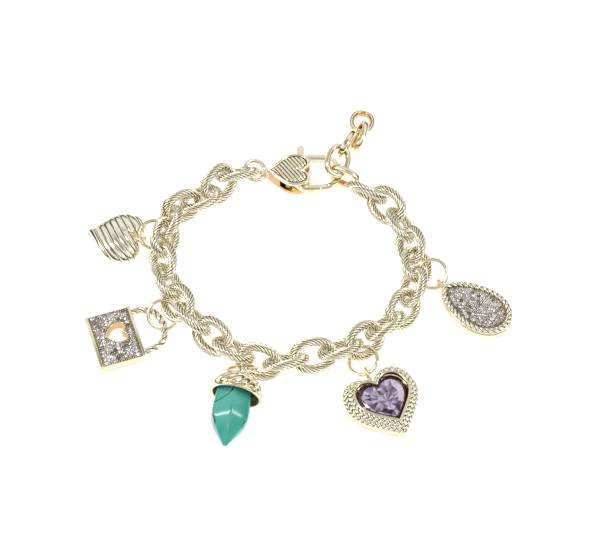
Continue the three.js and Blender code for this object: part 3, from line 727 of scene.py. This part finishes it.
def make_clasp():
    """Heart-shaped body with a ridged cap, hook and lug, and the lever that turns in the body's slot."""
    place = charm_frame(CLASP)
    slot_low, slot_high, top, relief = CLASP_LAYERS.values()
    mid = (slot_low + slot_high) / 2
    upright = heart(CLASP["length"], CLASP["width"], 220)
    outline = np.column_stack([upright[:, 1] + CLASP["shift"], -upright[:, 0]])  # its tip points to -x

    # The base under the cap, slot and all, has the painted warm reflection of gold on gold.
    base = skin("clasp_base", [at(inset(outline, 0.3), 0), at(inset(outline, 0.1), 0.08), at(outline, 0.3),
                               at(outline, slot_high + 0.02)], PAINTED_REFLECTION_GOLD)
    cut(base, block("slot_a", (-2.2, -7, slot_low), (7, 2.2, slot_high + 1), GOLD))
    cut(base, block("slot_b", (-2.2, 0, slot_low), (3.5, 7, slot_high + 1), GOLD))
    sharp_by_angle(base)

    # Cap with a raised rim, and ridges that run across the field inside it. Its finish is plain on the rim
    # and the ridges, with painted shade at the rim's inner foot and in the grooves between ridges.
    edge = 0.35
    levels = [at(inset(outline, 0.15), slot_high), at(outline, slot_high + 0.08), at(outline, top - edge)]
    for swing in np.linspace(0, math.pi / 2, 5)[1:]:
        levels.append(at(inset(outline, edge * (1 - math.cos(swing))), top - edge + edge * math.sin(swing)))
    levels += [at(inset(outline, 0.75), top), at(inset(outline, 0.92), top - 0.34)]
    field = inset(outline, 1.0)
    crown = [np.full(len(outline), 0.8)] * (len(levels) - 1) + [np.full(len(outline), 0.3)]
    for share in np.linspace(1, 0.02, 56):
        points = field * share
        fade = np.clip((1 - share) / 0.06, 0, 1)
        across = ridges(points, **CLASP_RIDGES)
        height = top - 0.28 + 0.12 * (1 - share**2) + fade * relief * (1 - across**3)
        levels.append(at(points, height))
        crown.append(0.3 + 0.5 * np.clip((0.9 - across) / 0.26, 0, 1) * fade)
    cap = skin("clasp_cap", levels, GROOVE_SHADED_GOLD, crown=crown)

    # Hook: from its root in the body, out along the far side, round the bend and back to the lever's tip.
    side, straight, bar_size, root_x, root_y = CLASP_HOOK.values()
    root = [(root_x, root_y), (root_x + 0.4, side - 1.2), (root_x + 1.6, side), (straight - 1.5, side)]
    bend = at(side * circle(np.linspace(math.pi / 2, -math.pi / 2, 24)) + [straight, 0], mid)
    tip_angle = math.asin((side + LEVER["pivot_y"]) / (LEVER["reach"] + 0.3))
    tip_x = LEVER["pivot_x"] + (LEVER["reach"] + 0.45) * math.cos(tip_angle)
    arm = np.vstack([smooth_path(at(root, mid), 20), bend, [(tip_x, -side, mid)]])
    bar = band("clasp_bar", even(arm, 90, closed=False), bar_size, bar_size, GOLD, corner=0.35)

    outer, lug_wire, lug_x, lug_z = CLASP_LUG.values()
    lug = wire("clasp_lug", oval(outer, outer, lug_wire), True, lug_wire)
    placed(lug, Matrix.Rotation(math.pi / 2, 4, "X"))
    placed(lug, Matrix.Translation(Vector((lug_x, 0, lug_z)) * MM))
    body = placed(joined("clasp_heart_hook", [base, cap, bar, lug]), place)
    take_over(body, "clasp", "clasp_body")

    px, py, half = LEVER["pivot_x"], LEVER["pivot_y"], LEVER["thick"] / 2
    ring = circle(full_turn(48)) * LEVER["hub"] + [px, py]
    hub = sharp_by_angle(skin("lever_hub", [at(ring, mid - half), at(ring, mid + half)], GOLD))
    path = [(px, py - 0.2), (px + 2.0, py - 3.0), (px + 4.4, -side - 0.1), (tip_x - 0.25, -side)]
    gate = band("lever_gate", smooth_path(at(path, mid), 60), bar_size, bar_size, GOLD, corner=0.35)
    end_x, end_y = LEVER["thumb_x"], LEVER["thumb_y"]
    path = [(px, py), (px + 1.6, py + 3.4), (end_x, end_y - 1.6), (end_x + 0.1, end_y)]
    tab_size = LEVER["tab_width"], LEVER["tab_height"]
    tab = band("lever_tab", smooth_path(at(path, mid), 40), *tab_size, GOLD, corner=0.1)
    disc = LEVER["knob"] * circle(full_turn(40)) + [end_x + 0.1, end_y]
    knob_levels = [at(disc, mid - 0.75), at(disc, mid + 0.74), at(offset(disc, 0.05), mid + 0.79)]
    knob = skin("lever_knob", knob_levels, GOLD)
    lever = joined("clasp_gate_lever", [hub, gate, sharp_by_angle(tab), sharp_by_angle(knob)])
    take_over(placed(lever, place), "clasp", "clasp_lever", body="clasp_lever")
    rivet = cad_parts["clasp_rivet"].data
    rivet.materials.clear()
    rivet.materials.append(GOLD)


# ---------- charms ----------


def make_striped_heart():
    """Puffed heart with curved ribs that swell out of its outline."""
    size, skirt = STRIPED_HEART, STRIPED_HEART["skirt"]
    place = charm_frame(size)
    outline = heart(size["length"], size["width"], 220)
    full = heart(size["length"], size["width"], 220, notch=0.47)
    across = lambda points: ridges(points, **HEART_RIBS)
    rib = lambda points: 1 - across(points) ** 4
    lit = lambda points: 0.12 + 0.8 * np.clip((0.96 - across(points)) / 0.14, 0, 1)
    levels, crown = [at(inset(outline, 1.6), 0.0), at(inset(outline, 0.5), 0.12)], [np.full(220, 0.9)] * 2
    for share in np.linspace(0.0, 1.0, 14):
        points = inset(outline, 0.35 - 0.35 * math.sin(share * math.pi / 2))
        levels.append(at(inset(points, -0.4 * rib(points) * share), 0.3 + (skirt - 0.3) * share))
        crown.append(np.maximum(lit(points), 0.9 * (1 - share)))
    for share in np.linspace(0.985, 0.02, 70):
        points = (outline * share**3 + full * (1 - share**3)) * share
        height = skirt + (size["thick"] - skirt) * (1 - share**2.8) ** 0.66
        grown = inset(points, -0.4 * rib(points) * share**4) if share > 0.1 else points
        levels.append(at(grown, height + 0.3 * rib(points) * (1 - share**8)))
        crown.append(lit(points))
    body = placed(skin("striped_heart_body", levels, GROOVE_SHADED_GOLD, crown=crown), place)
    loop = bail("striped_heart_bail", "striped_heart", on_charm(size, 0, 3.725, 2))
    take_over(joined("puffed_striped_heart", [body, loop]), "charm_metal", "striped_heart")


def crystal():
    """Round cut stone of radius 1: point, girdle, crown and table."""
    sides = 8
    ring, between = circle(full_turn(sides)), circle(full_turn(sides) + math.pi / sides)
    levels = [(ring * 0.1, -0.55), (ring, 0.0), (ring, 0.08), (between * 0.8, 0.3), (ring * 0.5, 0.42)]
    return skin("crystal_shape", [at(*level) / MM for level in levels], CRYSTAL, smooth=False)


def bead():
    """Ball of radius 1."""
    mesh = bpy.data.meshes.new("bead_shape")
    ball = bmesh.new()
    bmesh.ops.create_icosphere(ball, subdivisions=1, radius=1.0)
    ball.to_mesh(mesh)
    ball.free()
    mesh.shade_smooth()
    return show("bead_shape", mesh)


def pave(name, points, heights, size, bead_points, bead_heights, place):
    """Rows of crystals with a small round bead of metal wherever three of them meet."""
    stone, ball = crystal(), bead()
    crystals = grow(name + "_crystals", at(points, heights), [], SETTING_TREE, {
        "Shape": stone, "Size": size * MM, "Tip": PAVE_TIP, "Seed": 4, "Material": CRYSTAL})
    beads = grow(name + "_beads", at(bead_points, bead_heights), [], SETTING_TREE, {
        "Shape": ball, "Size": PAVE_BEAD * MM, "Tip": 0.0, "Seed": 9, "Material": GOLD})
    beads.data.shade_smooth()
    bpy.data.objects.remove(stone)
    bpy.data.objects.remove(ball)
    take_over(placed(crystals, place), "pave_crystal")
    take_over(placed(beads, place), "charm_metal")


def pave_field(inside, pitch):
    """Stone and bead places where `inside` says that there is room."""
    stones = lattice(pitch, 12)
    beads = np.vstack([stones + [0, pitch / math.sqrt(3)], stones - [0, pitch / math.sqrt(3)]])
    return stones[inside(stones) > pitch * 0.47], beads[inside(beads) > pitch * 0.3]


def make_padlock():
    """Plate with a heart keyhole, a rail at its top and bottom, pavé between them and a rope shackle."""
    size = PADLOCK
    place = charm_frame(size)
    half_w, half_h, face = size["width"] / 2, size["height"] / 2, size["thick"] - 0.4
    plate = block("padlock_plate", (-half_w, -half_h, 0), (half_w, half_h, face), CAST_GOLD)
    key = heart(KEYHOLE["length"], KEYHOLE["width"], 64) + [KEYHOLE["across"], KEYHOLE["up"]]
    # The keyhole's walls get the painted warm reflection, and the top under the stones gets painted shade.
    plate.data.materials.append(PAINTED_REFLECTION_GOLD)
    painted(plate, PAVE_SHADE_GOLD, lambda wall: wall.normal.z > 0.9)
    knife = skin("keyhole_cut", [at(key, -1), at(key, 5)], CAST_GOLD, smooth=False)
    cut(plate, painted(knife, PAINTED_REFLECTION_GOLD, lambda wall: True))
    rounded(plate, 0.14)
    rim = wire("keyhole_rim", at(offset(key, -0.1), face - 0.06), True, 0.3, steps=70, facets=10)
    rails = []
    for edge in (-1, 1):
        rail = block("rail", (-half_w, edge * half_h - 0.4 - edge * 0.4, face - 0.6),
                     (half_w, edge * half_h + 0.4 - edge * 0.4, size["thick"]), GOLD)
        rails.append(rounded(rail, 0.16))

    foot, reach, side = half_h - 0.5, SHACKLE["reach"], SHACKLE["half_width"]
    half_bow = [(side, 0), (side, reach * 0.35), (side * 0.72, reach * 0.85)]
    bow = [(-x, y) for x, y in half_bow] + [(0, reach + 0.3)] + half_bow[::-1]
    path = smooth_path([(x, foot + y, SHACKLE["z"]) for x, y in bow], 80)
    shackle = wire("padlock_shackle", path, False, SHACKLE["wire"], GROOVE_SHADED_GOLD, **SHACKLE_LAY)
    body = placed(joined("padlock_body", [plate, rim, *rails, shackle]), place)
    take_over(body, "charm_metal", "padlock")

    def inside(points):
        frame_room = np.minimum(half_w - 0.1 - np.abs(points[:, 0]), half_h - 0.7 - np.abs(points[:, 1]))
        return np.minimum(frame_room, -depth_inside(points, key) - 0.2)

    stones, beads = pave_field(inside, PADLOCK_PAVE["pitch"])
    edge_heights = np.arange(-half_h + 1.2, half_h - 1.0, 0.62)
    edge_row = [(x, y) for x in (-half_w + 0.3, half_w - 0.3) for y in edge_heights]
    beads = np.vstack([beads, even(offset(key, -0.38), 30), edge_row])
    pave("padlock", stones, face + 0.02, PADLOCK_PAVE["stone"], beads, face + 0.1, place)


def make_acorn_cap():
    """Fluted cap whose flutes swirl round it, over a rolled lip."""
    frame_of = aimed_frame(ACORN["x"], ACORN["y"], ACORN["z"], ACORN["heading"], ACORN["droop"])
    radius, height, flutes, twist, lip, seat = ACORN_CAP.values()
    per_flute = 10
    count = flutes * per_flute
    angle = full_turn(count)
    ring = lambda reach, z, turn=0.0: at(circle(angle + turn) * np.reshape(reach, (-1, 1)), z)
    crown = np.sqrt(1 - ((np.arange(count) % per_flute) / per_flute * 2 - 1) ** 2)
    levels = [ring(seat - 0.2, 1.4), ring(seat, 0.1)]
    for swing in np.linspace(-math.pi * 0.6, math.pi * 0.6, 12):
        levels.append(ring(radius - 0.5 + 0.5 * math.cos(swing), lip / 2 - 0.05 + 0.42 * math.sin(swing)))
    levels.append(ring(radius - 0.55, lip + 0.05))
    for climb in np.linspace(0, 1, 40):
        dome = (radius - 0.1) * math.sqrt(1 - (climb * 0.95) ** 2)
        rise = math.sin(min(climb / 0.12, 1) * math.pi / 2)
        groove = (0.15 + 0.55 * rise) * (1 - 0.6 * climb)
        reach = dome - 0.35 * (1 - rise) - groove * (1 - crown)
        levels.append(ring(reach, lip + climb * (height - lip), math.radians(twist * climb)))
    body = skin("acorn_cap_body", levels, CAST_GOLD)
    away = [corner.co.xy.length / MM for corner in body.data.vertices]
    reach_of = lambda face: max(away[i] for i in face.vertices)
    # The hollow over the stone gets painted shade.
    hollow = lambda face: reach_of(face) < seat + 0.05 and face.center.z < 1.6 * MM
    placed(painted(body, SHADED_GOLD, hollow), frame_of)
    root = tuple(frame_of @ (Vector((0, 0, height - 0.4)) * MM) / MM)
    loop = bail("acorn_bail", "acorn", root)
    take_over(joined("swirled_acorn_cap", [body, loop]), "charm_metal", "acorn_cap")


def make_acorn_stone():
    """Six-sided stone with eased corners that narrows to a point."""
    size = ACORN_STONE
    around = full_turn(120)
    sixth = math.pi / 6
    flat = np.cos(sixth) / np.cos((around - sixth) % (2 * sixth) - sixth)
    corner = np.minimum(0.25 * 0.94 + 0.75 * flat, 0.968)
    top, ease = size["top"], size["ease"]
    tip = top - size["body"] - size["point"]
    levels = []
    for z in np.concatenate([np.linspace(tip, tip + 1, 5), np.linspace(tip + 1.4, top, 40)]):
        flank = np.interp(z, [top - size["body"] * 0.7, top], [size["radius"], size["neck"]])
        point = 0.5 + (size["radius"] - 0.5) * (z - tip) / size["point"]
        reach = -np.log(np.exp(-ease * flank) + np.exp(-ease * point)) / ease
        levels.append(at(circle(around) * (max(reach, 0.2) * corner)[:, None], z))
    place = aimed_frame(ACORN["x"] + size["across"], ACORN["y"], ACORN["z"], ACORN["heading"] + size["turn"],
                        ACORN["droop"])
    take_over(placed(skin("turquoise_point", levels, turquoise()), place), "turquoise", "acorn_stone")


def make_purple_heart():
    """Heart setting with four braided rows, laid left and right by turns, that climb to a bright bezel."""
    size = PURPLE_HEART
    place = charm_frame(size)
    count = 160
    outer = softened(heart(size["length"], size["width"], count), 9)
    bezel, seat = stone_outline(1.4, count), stone_outline(0.5, count)
    side, top = size["side"], size["top"]
    between = lambda share: outer + (bezel - outer) * share
    levels = [at(outer * 0.97, 0), at(outer, 0.3), at(outer, side - 0.3), at(inset(outer, 0.2), side)]
    levels += [at(between(share), side + (top - side) * share * 0.8 - 0.1) for share in (0.15, 0.5, 0.85)]
    levels += [at(bezel, top - 0.5), at(offset(bezel, 0.05), top - 0.08), at(offset(bezel, 0.15), top),
               at(offset(bezel, 0.35), top), at(seat, top - 0.1), at(seat, top - 1.0),
               at(seat * 0.75, top - 2.3), at(seat * 0.2, top - 2.9)]
    body = sharp_by_angle(skin("heart_setting", levels, CAST_GOLD), 50)
    rows = []
    for row, share in enumerate(BRAID["rows"]):
        line = even(between(share), count)
        height = side + (top - side) * share * 0.86 + 0.05
        length = np.linalg.norm(np.roll(line, -1, 0) - line, axis=1).sum()
        turns = round(length / BRAID["lay"]) * (1 if row % 2 else -1)
        path = at(line, height)
        rows.append(wire("braid_%d" % row, path, True, BRAID["wire"], GROOVE_SHADED_GOLD, turns=turns, **BRAID_LAY))
    rim = at(even(offset(bezel, 0.25), count), top - 0.08)
    rows.append(wire("bezel_rim", rim, True, 0.75, steps=200))
    loop = bail("purple_heart_bail", "purple_heart", on_charm(size, 0, size["length"] * 0.26, 1.4))
    body = placed(joined("heart_setting", [body, *rows]), place)
    take_over(joined("braided_heart_setting", [body, loop]), "charm_metal", "purple_heart_setting")


def stone_outline(room, count):
    """The heart stone's outline, grown by `room` millimetres in length and width."""
    return heart(HEART_STONE["length"] + room, HEART_STONE["width"] + room, count, HEART_STONE["notch"])


def make_heart_stone():
    """Cut stone of rings of facets; each facet keeps a tone by chance, painted lighter on the far side and
    darker on the near one, and its share of the rim of painted wine-red shade.
    """
    top, spokes = PURPLE_HEART["top"], HEART_STONE["spokes"]
    girdle, turned = stone_outline(0, spokes), even(stone_outline(0, spokes * 2)[1:], spokes)
    rings = [(girdle * 0.05, -2.6), (turned * 0.5, -1.8), (girdle, -1.0), (girdle, -0.85),
             (turned * 0.86, -0.5), (girdle * 0.8, -0.3), (turned * 0.55, -0.12), (girdle * 0.3, -0.32),
             (turned * 0.03, -0.75)]
    levels = [at(ring, top + lower) for ring, lower in rings]
    stone = skin("heart_stone_cut", levels, AMETHYST, smooth=False)
    shape = bmesh.new()
    shape.from_mesh(stone.data)
    bmesh.ops.triangulate(shape, faces=shape.faces)
    shape.to_mesh(stone.data)
    shape.free()
    centres = np.array([face.center.xy / MM for face in stone.data.polygons])
    turn = math.radians(PURPLE_HEART["heading"] - 90)
    far = np.clip(centres @ [math.sin(turn), math.cos(turn)] / 6, -1, 1)  # 1 at the side that faces the clasp
    # The facet tones are painted lighter towards the far side and darker towards the near one.
    chance = np.random.default_rng(6).random(len(centres)) - 0.3 * far
    # rim: painted shade in wine red round the girdle, reaching further in on the far side.
    rim = (np.maximum(far, 0) * 0.9 - depth_inside(centres, girdle * 0.82)) / 0.3
    for name, value in (("chance", chance), ("rim", rim)):
        kept = stone.data.attributes.new(name, "FLOAT", "FACE")
        kept.data.foreach_set("value", np.clip(value, 0, 1))
    take_over(placed(stone, charm_frame(PURPLE_HEART)), "amethyst", "heart_stone")


def make_teardrop():
    """Drop with a rope border round a field of pavé that swells a little."""
    size = TEARDROP
    place = charm_frame(size)
    outer = drop(size["length"], size["width"], 160)
    side, rope, dome = size["side"], size["rope"], size["dome"]
    floor = side + 0.7
    field = offset(outer, rope + 0.05)
    levels = [at(inset(outer, 0.3), 0), at(inset(outer, 0.08), 0.1), at(outer, 0.4), at(outer, side - 0.3)]
    drawn_in = [(0.3, side), (rope - 0.1, side + 0.2), (rope, floor)]
    levels += [at(offset(outer, depth), z) for depth, z in drawn_in]
    levels += [at(field * share, floor + dome * (1 - share**2)) for share in (0.95, 0.8, 0.5, 0.2)]
    body = sharp_by_angle(skin("teardrop_body", levels, CAST_GOLD), 50)
    # The field under the pavé gets painted shade.
    lies_in = lambda face: depth_inside(np.array([face.center.xy / MM]), field)[0] > -0.15
    painted(body, PAVE_SHADE_GOLD, lambda face: face.normal.z > 0.5 and lies_in(face))
    line = at(even(offset(outer, rope / 2 + 0.03), 200), size["top"] - rope / 2)
    border = wire("teardrop_rope", line, True, rope, GROOVE_SHADED_GOLD, **BORDER_LAY)
    loop = bail("teardrop_bail", "teardrop", on_charm(size, 0, size["length"] / 2 - 0.9, 1))
    body = placed(joined("teardrop_body", [body, border]), place)
    take_over(joined("rope_edged_teardrop", [body, loop]), "charm_metal", "teardrop")

    stones, beads = pave_field(lambda points: depth_inside(points, field), TEARDROP_PAVE["pitch"])
    height = lambda points: floor + dome * (1 - np.minimum(np.linalg.norm(points / [5, 8], axis=1), 1) ** 2)
    pave("teardrop", stones, height(stones) + 0.02, TEARDROP_PAVE["stone"], beads, height(beads) + 0.1, place)


# ---------- studio ----------

CAMERA = {"distance": 460, "elevation": 55, "lens": 106.3, "sensor": 36.0}
FLOOR_REACH = 1500
LIGHTS = {  # place, size and power of each, in metres and watts, kept off the mirror line of the flat tops
    "key": ((-0.42, -0.06, 0.5), (0.1, 0.5), 1.3),
    "fill": ((0.5, -0.1, 0.42), (0.12, 0.5), 0.9),
}
SKY = [  # start and end height of each change, and the tone that it ends in
    (0.1, 0.4, "#8a8466"),
    (0.4, 0.55, "#ffffff"),
    (0.88, 0.97, "#a8a8a0"),
]


def make_camera():
    data = bpy.data.cameras.new("camera")
    data.lens, data.sensor_width = CAMERA["lens"], CAMERA["sensor"]
    data.clip_start, data.clip_end = 0.01, 10.0
    camera = show("camera", data)
    tilt = math.radians(CAMERA["elevation"])
    target = Vector((SHIFT.x, SHIFT.y, 0)) * MM
    camera.location = target + Vector((0, -math.cos(tilt), math.sin(tilt))) * CAMERA["distance"] * MM
    camera.rotation_euler = (target - camera.location).to_track_quat("-Z", "Y").to_euler()
    bpy.context.scene.camera = camera


def make_studio():
    """White light table under a sky that is dark near the horizon, which gives the gold its dark lines."""
    reach = FLOOR_REACH
    corners = [(-reach, -reach, 0), (reach, -reach, 0), (reach, reach, 0), (-reach, reach, 0)]
    floor_mesh = new_mesh("floor", corners, [], [(0, 1, 2, 3)], light_table())
    show("floor", floor_mesh)

    world = bpy.data.worlds.new("soft_studio")
    bpy.context.scene.world = world
    world.use_nodes = True
    world.node_tree.nodes.clear()
    put = partial(add, world.node_tree)
    all_round = put("ShaderNodeTexCoord").outputs["Generated"]
    way = put("ShaderNodeSeparateXYZ", (all_round,)).outputs
    ahead = put(MATH, (way[1], 0.0), operation="MAXIMUM")
    height = put(MATH, (ahead, 0.14, way[2]), operation="MULTIPLY_ADD")
    tone = linear("#100f0b")
    for start, end, colour in SKY:
        tone = graded(put, height, start, end, tone, colour)
    sky = put("ShaderNodeBackground", {"Color": tone, "Strength": 0.9})
    put("ShaderNodeOutputWorld", {"Surface": sky})

    for name, (place, size, power) in LIGHTS.items():
        data = bpy.data.lights.new(name, "AREA")
        data.shape, data.size, data.size_y, data.energy = "RECTANGLE", size[0], size[1], power
        light = show(name, data)
        light.location = place
        light.rotation_euler = (-Vector(place)).to_track_quat("-Z", "Y").to_euler()
    bpy.context.scene.view_settings.view_transform = "Standard"  # keeps the pale gold's own tones


make_camera()
make_studio()
make_chain()
make_plain_loops(CHARM_RINGS, JUMP_RING, 72)
make_plain_loops(["clasp_ring"], CLASP_RING, 64)
make_plain_loops(["extender_link_%d" % i for i in range(1, 6)], EXTENDER_LINK, 96, flat=EXTENDER_BAND)
make_clasp()
make_striped_heart()
make_padlock()
make_acorn_cap()
make_acorn_stone()
make_purple_heart()
make_heart_stone()
make_teardrop()
